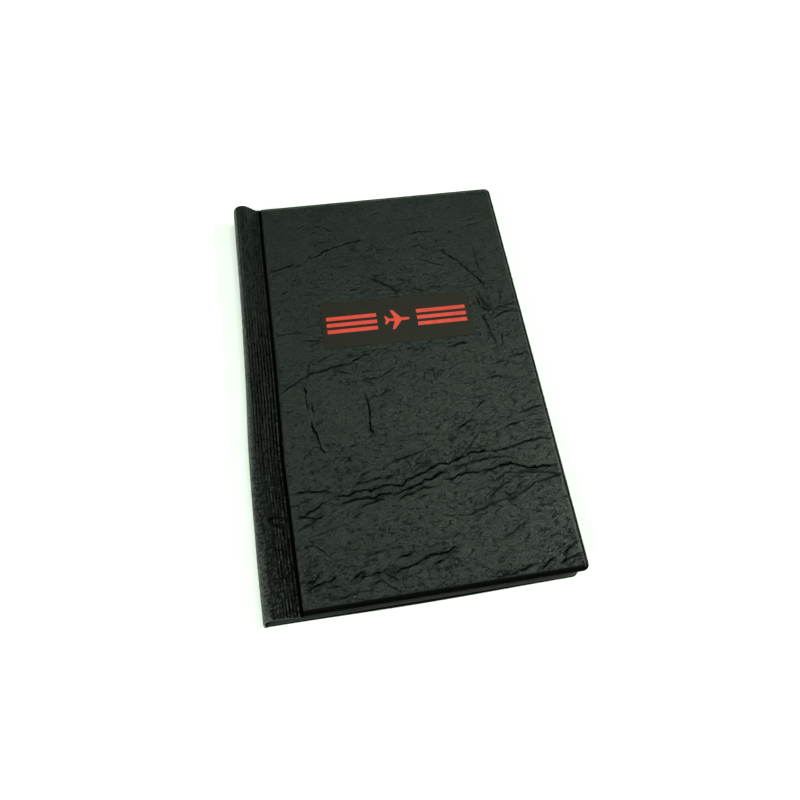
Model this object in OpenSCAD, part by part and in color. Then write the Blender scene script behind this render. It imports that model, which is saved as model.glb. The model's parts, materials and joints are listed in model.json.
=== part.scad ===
/* [Covers] */
// Width of the closed book, from the spine to the front cover's fore edge
overall_w = 155.2; // [145:0.1:175]
// Height of each cover, from tail to head
cover_h = 228; // [222:1:260]
// How far the two covers sit out of line with each other, tail to head
cover_shift = 1; // [0:0.1:1.5]
// How far the back cover's fore edge stops short of the front cover's
back_short = 3.7; // [1:0.1:4.5]
// Thickness of one cover, with its board, skin and lining
cover_t = 3; // [2.6:0.1:3.2]
// Height of the closed covers above the table
closed_h = 12; // [11.8:0.1:14]
// Thickness of the skin and of the lining on a cover
skin_t = 0.5; // [0.4:0.05:0.6]
// Width of the welded rim outside the board
rim_w = 1.5; // [1:0.1:2]
// Distance from the spine's flank to the back board
back_board_u = 5.4; // [2:0.1:6]
// Radius of the fore edge corners
corner_r = 3; // [2:0.5:6]

/* [Ribbed spine] */
// Height of the spine's crown above the table
crown_h = 15.8; // [15.6:0.1:16.4]
// Distance from the spine's flank to its crown
crown_u = 9.8; // [9.4:0.1:10.2]
// Distance from the spine's flank to the front crease
crease_u = 18.5; // [18.2:0.1:19]
// Thickness of the spine's skin
spine_skin_t = 1; // [0.9:0.05:1.1]
// Thickness of the stiffener under the crown
stiffener_t = 1.2; // [0.8:0.1:1.3]
// Number of grooves between the ribs
groove_count = 7; // [4:1:7]
// Distance between two grooves
groove_pitch = 1.6; // [1.4:0.05:1.6]
// Depth of one groove
groove_depth = 0.4; // [0.2:0.05:0.5]

/* [Leaves] */
// Width of one leaf
leaf_w = 140; // [120:1:142]
// Height of one leaf
leaf_h = 210; // [190:1:216]

/* [Binding] */
// Number of screw posts
post_count = 3; // [2:1:4]
// Distance between two screw posts
post_pitch = 70; // [60:1:70]
// Distance from the spine's flank to the posts
post_u = 10.6; // [10.4:0.1:10.8]
// Radius of a post's barrel
barrel_r = 2; // [1.9:0.05:2.1]
// Radius of a screw's head
head_r = 3.4; // [3:0.1:3.5]

/* [Label] */
// Width of the title label
label_w = 81; // [60:0.5:90]
// Height of the title label
label_h = 27.5; // [20:0.5:30]
// Distance from the spine's flank to the label's middle
label_u = 86; // [80:0.5:95]
// Distance from the tail of the front cover to the label's middle
label_up = 145.5; // [60:0.5:180]
// Turn of the label, anticlockwise
label_turn = -1; // [-3:0.5:3]

/* [Hidden] */
$fn = 48;

fit_gap = 0.1;
back_y = -cover_shift / 2;
front_y = cover_shift / 2;
front_low = closed_h - cover_t;
board_t = cover_t - 2 * skin_t;

// The spine's skin turns about a line just outside its flank
hinge_z = 5;
hinge_gap = 0.1;

// The welded web at the bottom of the front crease
web_top = 9.9;
web_t = 0.7;
web_low = web_top - web_t;
web_gap = 0.15;
foot_u = crease_u - 0.9;
panel_u = crease_u + 0.9;
roll_over = 0.9;
rim_top = closed_h - 1.1;

// The grooves start on the crown and end at the foot of the slope
groove_from = foot_u - 1.2 - (groove_count - 1) * groove_pitch;
slope_power = 1.3;
flank_power = 2.6;
flank_step = 6;
flank_end = 60;
slope_step = 0.2;
stiffener_end = 12.2;
lining_t = 0.4;

// Heights of the layers in the binding, counted from the table
bar_low = cover_t;
bar_t = 0.8;
clamp_t = 1.4;
leaves_low = bar_low + bar_t;
leaves_top = front_low - 0.2;
head_t = 1.1;
bar_u = 6.6;
bar_w = 8;
bar_h = leaf_h - 2;
leaf_u = bar_u - 0.2;
leaf_fold_u = panel_u + 0.1;
hole_r = barrel_r + fit_gap;
shank_r = barrel_r - 0.65;

// Each sheaf: lowest and highest face, as a share of the height between the bars
sheaf_gap = 0.06;
leaves_t = leaves_top - leaves_low;
endorsement_at = [0, 0.08];
summary_at = [0.08, 0.16];
rear_record_at = [0.16, 0.42];
front_record_at = [0.42, 0.72];
ratings_at = [0.72, 0.86];
holder_at = [0.86, 0.93];
title_at = [0.93, 1];

label_t = 0.2;
motif_t = 0.1;
bar_motif_w = 27;
bar_motif_h = 2.2;
bar_motif_pitch = 3.9;
bar_motif_from = 10.9;

skin_colour = [0.15, 0.17, 0.15];
lining_colour = [0.12, 0.13, 0.12];
board_colour = [0.55, 0.5, 0.42];
steel_colour = [0.72, 0.72, 0.7];
paper_colour = [0.93, 0.92, 0.87];
label_colour = [0.17, 0.15, 0.13];
motif_colour = [0.86, 0.2, 0.16];

// Places its children by their distance from the spine's flank
module from_spine() {
    translate([-overall_w / 2, 0, 0]) children();
}

// A sheet between two distances from the spine, with its fore edge corners rounded
module cover_sheet(u0, u1, height, low, thick, r) {
    translate([0, 0, low]) linear_extrude(thick) union() {
        translate([u0, -height / 2]) square([u1 - u0 - r, height]);
        translate([u0, -height / 2 + r]) square([u1 - u0, height - 2 * r]);
        for (side = [-1, 1]) translate([u1 - r, side * (height / 2 - r)]) circle(r);
    }
}

// One cylinder at each post
module at_posts() {
    for (i = [0 : post_count - 1]) {
        translate([post_u, (i - (post_count - 1) / 2) * post_pitch, 0]) children();
    }
}

// A flat bar with round ends, drilled for the posts
module binding_bar(low, thick, r) {
    end_r = bar_w / 2;
    difference() {
        translate([bar_u, 0, low]) linear_extrude(thick) union() {
            translate([0, -bar_h / 2 + end_r]) square([bar_w, bar_h - 2 * end_r]);
            for (side = [-1, 1]) translate([end_r, side * (bar_h / 2 - end_r)]) circle(end_r);
        }
        at_posts() translate([0, 0, low - 1]) cylinder(h = thick + 2, r = r);
    }
}

// Height of a sheaf's face, for a share of the space between the bars
function sheaf_z(share) = leaves_low + share * leaves_t;

// A stack of leaves between two distances from the spine, drilled where it is bound
module sheaf(at, u0, u1, drilled) {
    low = sheaf_z(at[0]);
    thick = sheaf_z(at[1]) - low - (at[1] < 1 ? sheaf_gap : 0);
    difference() {
        translate([u0, -leaf_h / 2, low]) cube([u1 - u0, leaf_h, thick]);
        if (drilled) at_posts() translate([0, 0, low - 1]) cylinder(h = thick + 2, r = hole_r);
    }
}

// Height of the spine's section at a distance from the flank, at a depth below its outer face
function foot_z(inset) = inset > 0 ? web_low : web_top;
function flank_z(u, inset) =
    hinge_z + (crown_h - inset - hinge_z)
    * pow(max(0, 1 - pow((crown_u - u) / (crown_u - inset), flank_power)), 1 / flank_power);
function slope_z(u, inset) =
    foot_z(inset) + (crown_h - inset - foot_z(inset))
    * (1 + cos(180 * pow(min(1, max(0, (u - crown_u) / (foot_u - inset - crown_u))), slope_power))) / 2;
function section_z(u, inset) = u < crown_u ? flank_z(u, inset) : slope_z(u, inset);

// Depth of the grooves at a distance from the flank
function in_grooves(u) =
    u > groove_from - groove_pitch / 2 && u < groove_from + (groove_count - 0.5) * groove_pitch;
function groove(u) =
    in_grooves(u) ? groove_depth * pow(abs(cos(180 * (u - groove_from) / groove_pitch)), 3) : 0;

// Points of the section at one depth, from the flank to the given distance
function section_line(inset, last_u, grooved) = concat(
    [for (t = [0 : flank_step : flank_end])
        let (u = crown_u - (crown_u - inset) * cos(t)) [u, flank_z(u, inset)]],
    [for (u = [crown_u - (crown_u - inset) * cos(flank_end) + slope_step : slope_step : last_u])
        [u, section_z(u, inset) - (grooved ? groove(u) : 0)]]
);
function reversed(line) = [for (i = [len(line) - 1 : -1 : 0]) line[i]];

// A section in the plane across the spine, drawn out along the spine
module along_spine(height, shift) {
    translate([0, shift + height / 2, 0]) rotate([90, 0, 0]) linear_extrude(height) children();
}

// A layer of the spine between two depths
module spine_layer(outer, inner, last_u, height) {
    along_spine(height, front_y) polygon(concat(
        section_line(outer, last_u, false),
        reversed(section_line(inner, last_u, false))
    ));
}

// The outline of an aeroplane seen from above, flying towards the fore edge
module aeroplane() {
    half = [
        [6.9, 0], [6, 0.8], [2.2, 0.95], [-1.8, 5.9], [-3.2, 5.9],
        [-1.4, 0.95], [-4.4, 0.8], [-5.8, 2.5], [-6.9, 2.5], [-6.1, 0],
    ];
    polygon(concat(half, [for (i = [len(half) - 2 : -1 : 1]) [half[i][0], -half[i][1]]]));
}

module back_cover_skin() {
    wall_top = hinge_z - hinge_gap;
    fore_u = overall_w - back_short;
    color(skin_colour) from_spine() translate([0, back_y, 0]) union() {
        difference() {
            cover_sheet(0, fore_u, cover_h, 0, cover_t - skin_t, corner_r);
            cover_sheet(back_board_u, fore_u - rim_w, cover_h - 2 * rim_w, skin_t, cover_t, corner_r / 2);
        }
        translate([0, -cover_h / 2, cover_t - skin_t]) {
            cube([spine_skin_t, cover_h, wall_top - cover_t + skin_t]);
        }
    }
}

module back_board() {
    fore_u = overall_w - back_short - rim_w;
    color(board_colour) from_spine() difference() {
        translate([0, back_y, 0]) {
            cover_sheet(back_board_u, fore_u, cover_h - 2 * rim_w, skin_t, board_t, corner_r / 2);
        }
        at_posts() translate([0, 0, cover_t - head_t + fit_gap]) cylinder(h = head_t, r = head_r + fit_gap);
    }
}

module back_lining() {
    color(lining_colour) from_spine() difference() {
        translate([0, back_y, 0]) {
            cover_sheet(
                back_board_u - skin_t, overall_w - back_short, cover_h,
                cover_t - skin_t, skin_t, corner_r
            );
        }
        at_posts() translate([0, 0, board_t]) cylinder(h = cover_t, r = head_r + fit_gap);
    }
}

module lower_binding_bar() {
    color(steel_colour) from_spine() binding_bar(bar_low, bar_t, hole_r);
}

module upper_binding_bar() {
    color(steel_colour) from_spine() binding_bar(leaves_top, clamp_t, shank_r + fit_gap);
}

module post_barrels() {
    flange_t = 0.8;
    color(steel_colour) from_spine() at_posts() difference() {
        union() {
            translate([0, 0, bar_low - flange_t]) cylinder(h = flange_t, r = head_r);
            translate([0, 0, bar_low - flange_t]) {
                cylinder(h = leaves_top - fit_gap - bar_low + flange_t, r = barrel_r);
            }
        }
        translate([0, 0, leaves_low]) cylinder(h = leaves_t, r = shank_r + fit_gap / 2);
    }
}

module post_screws() {
    clamp_top = leaves_top + clamp_t;
    shank_low = leaves_low + 1;
    slot_w = 0.9;
    slot_t = 0.6;
    color(steel_colour) from_spine() at_posts() difference() {
        union() {
            translate([0, 0, shank_low]) cylinder(h = clamp_top - shank_low + head_t / 2, r = shank_r);
            translate([0, 0, clamp_top]) cylinder(h = head_t, r = head_r);
        }
        translate([-head_r - 1, -slot_w / 2, clamp_top + head_t - slot_t]) {
            cube([2 * head_r + 2, slot_w, slot_t + 1]);
        }
    }
}

module endorsement_leaves() {
    color(paper_colour) from_spine() sheaf(endorsement_at, leaf_u, leaf_u + leaf_w, true);
}

module summary_leaves() {
    color(paper_colour) from_spine() sheaf(summary_at, leaf_u, leaf_u + leaf_w, true);
}

module rear_record_leaves() {
    color(paper_colour) from_spine() sheaf(rear_record_at, leaf_u, leaf_u + leaf_w, true);
}

module front_record_margins() {
    color(paper_colour) from_spine() sheaf(front_record_at, leaf_u, leaf_fold_u - fit_gap * 3, true);
}

module title_margins() {
    color(paper_colour) from_spine() {
        sheaf([ratings_at[0], title_at[1]], leaf_u, leaf_fold_u - fit_gap * 3, true);
    }
}

module front_record_leaves() {
    color(paper_colour) from_spine() {
        sheaf(front_record_at, leaf_fold_u + fit_gap * 3, leaf_u + leaf_w, false);
    }
}

module ratings_leaves() {
    color(paper_colour) from_spine() sheaf(ratings_at, leaf_fold_u + fit_gap * 3, leaf_u + leaf_w, false);
}

module holder_leaf() {
    color(paper_colour) from_spine() sheaf(holder_at, leaf_fold_u + fit_gap * 3, leaf_u + leaf_w, false);
}

module title_leaf() {
    color(paper_colour) from_spine() sheaf(title_at, leaf_fold_u + fit_gap * 3, leaf_u + leaf_w, false);
}

module ribbed_spine_skin() {
    web_end = crease_u - web_gap;
    color(skin_colour) from_spine() intersection() {
        along_spine(cover_h, front_y) polygon(concat(
            section_line(0, foot_u, true),
            [[web_end, web_top], [web_end, web_low]],
            reversed(section_line(spine_skin_t, foot_u - spine_skin_t, false))
        ));
        translate([-1, -cover_h, hinge_z + hinge_gap]) cube([crease_u + 2, 2 * cover_h, crown_h]);
    }
}

module spine_stiffener() {
    inner = spine_skin_t + stiffener_t;
    color(board_colour) from_spine() intersection() {
        spine_layer(spine_skin_t, inner, stiffener_end, cover_h - 2 * rim_w);
        translate([0, -cover_h, hinge_z + 1]) cube([crease_u, 2 * cover_h, crown_h]);
    }
}

module spine_lining() {
    outer = spine_skin_t + stiffener_t;
    color(lining_colour) from_spine() intersection() {
        spine_layer(outer, outer + lining_t, stiffener_end, cover_h - 2 * rim_w);
        translate([0, -cover_h, hinge_z + 1]) cube([crease_u, 2 * cover_h, crown_h]);
    }
}

module front_cover_skin() {
    inner_low = front_low + skin_t;
    web_start = crease_u + web_gap;
    color(skin_colour) from_spine() translate([0, front_y, 0]) union() {
        difference() {
            union() {
                cover_sheet(panel_u, overall_w, cover_h, inner_low, rim_top - inner_low, corner_r);
                cover_sheet(
                    panel_u + roll_over, overall_w - rim_w, cover_h - 2 * rim_w,
                    inner_low, closed_h - inner_low, corner_r - roll_over
                );
            }
            cover_sheet(
                panel_u + rim_w, overall_w - rim_w - skin_t, cover_h - 2 * (rim_w + skin_t),
                inner_low - 1, board_t + 1, corner_r / 2
            );
        }
        translate([web_start, -cover_h / 2, inner_low]) {
            cube([panel_u - web_start, cover_h, web_top - inner_low]);
        }
    }
}

module front_board() {
    color(board_colour) from_spine() translate([0, front_y, 0]) {
        cover_sheet(
            panel_u + rim_w, overall_w - rim_w - skin_t, cover_h - 2 * (rim_w + skin_t),
            front_low + skin_t, board_t, corner_r / 2
        );
    }
}

module front_lining() {
    color(lining_colour) from_spine() translate([0, front_y, 0]) {
        cover_sheet(panel_u, overall_w, cover_h, front_low, skin_t, corner_r);
    }
}

// Places its children on the front cover, at the label's middle and turn
module on_label(z) {
    from_spine() translate([label_u, front_y - cover_h / 2 + label_up, z]) {
        rotate([0, 0, label_turn]) children();
    }
}

module title_label() {
    color(label_colour) on_label(closed_h) {
        translate([-label_w / 2, -label_h / 2, 0]) cube([label_w, label_h, label_t]);
    }
}

module label_motif() {
    color(motif_colour) on_label(closed_h + label_t) linear_extrude(motif_t) {
        aeroplane();
        for (side = [-1, 1], row = [-1 : 1]) {
            translate([side * (bar_motif_w / 2 + bar_motif_from), row * bar_motif_pitch]) {
                square([bar_motif_w, bar_motif_h], center = true);
            }
        }
    }
}

back_cover_skin();
back_board();
back_lining();
lower_binding_bar();
upper_binding_bar();
post_barrels();
post_screws();
endorsement_leaves();
summary_leaves();
rear_record_leaves();
front_record_margins();
title_margins();
front_record_leaves();
ratings_leaves();
holder_leaf();
title_leaf();
ribbed_spine_skin();
spine_stiffener();
spine_lining();
front_cover_skin();
front_board();
front_lining();
title_label();
label_motif();
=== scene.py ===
import json
import math

import bpy
import numpy as np
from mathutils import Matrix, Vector


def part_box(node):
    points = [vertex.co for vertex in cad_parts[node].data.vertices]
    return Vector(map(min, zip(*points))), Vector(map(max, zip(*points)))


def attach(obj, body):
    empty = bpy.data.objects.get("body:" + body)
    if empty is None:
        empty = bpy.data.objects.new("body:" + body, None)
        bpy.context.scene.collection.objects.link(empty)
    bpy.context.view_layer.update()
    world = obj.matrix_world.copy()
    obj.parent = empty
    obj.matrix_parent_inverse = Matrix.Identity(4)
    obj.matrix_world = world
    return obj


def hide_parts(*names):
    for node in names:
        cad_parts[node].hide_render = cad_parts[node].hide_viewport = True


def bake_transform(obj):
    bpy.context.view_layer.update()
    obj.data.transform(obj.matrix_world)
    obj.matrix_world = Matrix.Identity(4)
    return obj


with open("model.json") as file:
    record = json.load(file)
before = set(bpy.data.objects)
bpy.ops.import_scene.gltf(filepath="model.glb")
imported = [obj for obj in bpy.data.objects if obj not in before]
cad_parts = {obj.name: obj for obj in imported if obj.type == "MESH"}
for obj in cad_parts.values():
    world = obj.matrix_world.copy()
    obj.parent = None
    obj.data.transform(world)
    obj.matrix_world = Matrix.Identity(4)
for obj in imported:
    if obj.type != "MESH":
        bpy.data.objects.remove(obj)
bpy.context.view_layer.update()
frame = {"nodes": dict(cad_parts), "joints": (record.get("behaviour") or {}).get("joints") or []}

# Everything below is worked out in millimetres and becomes metres when a mesh is made.
MM = 0.001


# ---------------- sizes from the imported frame

def low(node):
    """The corner of a CAD node's box that has the lowest x, y and z."""
    return [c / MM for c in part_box(node)[0]]


def high(node):
    """The corner with the highest x, y and z."""
    return [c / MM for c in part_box(node)[1]]


def joint_place(name):
    return [c / MM for c in next(j for j in frame["joints"] if j["name"] == name)["pos_m"]]


SPINE_X = low("ribbed_spine_skin")[0]
FORE_X = high("front_cover_skin")[0]
FRONT_TAIL, FRONT_HEAD = low("front_cover_skin")[1], high("front_cover_skin")[1]
BACK_TAIL, BACK_HEAD = low("back_cover_skin")[1], high("back_cover_skin")[1]
BACK_FORE_X = high("back_cover_skin")[0]
FRONT_TOP = high("front_cover_skin")[2]
FRONT_LOW = low("front_lining")[2]
BACK_TOP = high("back_lining")[2]
CROWN_Z = high("ribbed_spine_skin")[2]
CROWN_X = SPINE_X + 9.8
SPINE_WIDTH = 18
HINGE = joint_place("spine_hinge")
CREASE = joint_place("crease_hinge")
WEB_Z = CREASE[2]
CORNER_R = 3.4

# The spine's flank and the crease aren't quite straight: distances from the spine's line at rising heights
FLANK_AT = [-114, -90, -60, -30, 0, 30, 60, 90, 114]
FLANK = [0.6, 0.3, 0.4, 0.9, 2.2, 3.2, 3.9, 4.2, 4.4]
CREASE_AT = [-114, -90, -66, -41, -14, 14, 44, 76, 114]
CREASE_BOW = [18.5, 18.0, 17.7, 17.2, 17.8, 18.4, 18.7, 18.9, 19.5]


def smooth_line(y, at, values):
    """A smooth curve through a few values: cubic pieces whose slopes match where they meet."""
    y = np.asarray(y, float)
    index = np.clip(np.searchsorted(at, y) - 1, 0, len(at) - 2)
    at, values = np.array(at, float), np.array(values, float)
    share = np.clip((y - at[index]) / (at[index + 1] - at[index]), 0, 1)
    slope = np.gradient(values, at)
    gap = at[index + 1] - at[index]
    a, b = values[index], values[index + 1]
    m, n = slope[index] * gap, slope[index + 1] * gap
    s2, s3 = share**2, share**3
    return (2 * s3 - 3 * s2 + 1) * a + (s3 - 2 * s2 + share) * m + (3 * s2 - 2 * s3) * b + (s3 - s2) * n


def flank_x(y):
    """The spine's outer edge at each y."""
    return SPINE_X + smooth_line(y, FLANK_AT, FLANK)


def crease_x(y):
    """The welded crease at each y."""
    return SPINE_X + smooth_line(y, CREASE_AT, CREASE_BOW)


# ---------------- leather relief

def fade(t):
    """0 up to 0 and 1 from 1, with an S-shaped rise between."""
    t = np.clip(t, 0, 1)
    return t * t * (3 - 2 * t)


def noise(x, y, seed):
    """Gradient noise, about -1 to 1, on a lattice of 1 mm that repeats after 256."""
    angle = np.random.default_rng(seed).uniform(0, 2 * math.pi, (256, 256))
    xi, yi = np.floor(x).astype(int), np.floor(y).astype(int)
    fx, fy = x - xi, y - yi

    def corner(dx, dy):
        a = angle[(xi + dx) % 256, (yi + dy) % 256]
        return np.cos(a) * (fx - dx) + np.sin(a) * (fy - dy)

    sx = fx**3 * (fx * (fx * 6 - 15) + 10)
    sy = fy**3 * (fy * (fy * 6 - 15) + 10)
    bottom = corner(0, 0) * (1 - sx) + corner(1, 0) * sx
    top = corner(0, 1) * (1 - sx) + corner(1, 1) * sx
    return 1.5 * (bottom * (1 - sy) + top * sy)


def wander(x, y, size, reach, seed):
    """The same points, pushed about by noise so that straight lines wander."""
    return (
        x + reach * noise(x / size, y / size, seed),
        y + reach * noise(x / size + 31.7, y / size + 11.3, seed + 1),
    )


def crease_net(x, y, long, short, tilt, width, seed):
    """1 in the valleys of a net of wandering creases that mostly run along x, and 0 between them."""
    x, y = wander(x, y, 7.0, 1.6, seed + 10)
    x, y = wander(x, y, 2.2, 0.45, seed + 20)
    along = x * math.cos(tilt) + y * math.sin(tilt)
    across = y * math.cos(tilt) - x * math.sin(tilt)
    step = 0.05
    field = noise(along / long, across / short, seed)
    slope_x = (noise((along + step) / long, across / short, seed) - field) / step
    slope_y = (noise(along / long, (across + step) / short, seed) - field) / step
    distance = np.abs(field) / (np.hypot(slope_x, slope_y) + 0.02)
    return np.exp(-((distance / width) ** 2))


def distance_to_line(x, y, line):
    """Distance to a line of points, less than 0 on its right, and the distance to its nearer end."""
    best, signed = np.full(x.shape, 1e6), np.full(x.shape, 1e6)
    for (ax, ay), (bx, by) in zip(line, line[1:]):
        dx, dy = bx - ax, by - ay
        t = np.clip(((x - ax) * dx + (y - ay) * dy) / (dx**2 + dy**2), 0, 1)
        distance = np.hypot(x - ax - t * dx, y - ay - t * dy)
        side = np.where(dx * (y - ay) - dy * (x - ax) < 0, -1, 1)
        signed = np.where(distance < best, side * distance, signed)
        best = np.minimum(best, distance)
    first = np.hypot(x - line[0][0], y - line[0][1])
    last = np.hypot(x - line[-1][0], y - line[-1][1])
    return signed, np.minimum(first, last)


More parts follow.
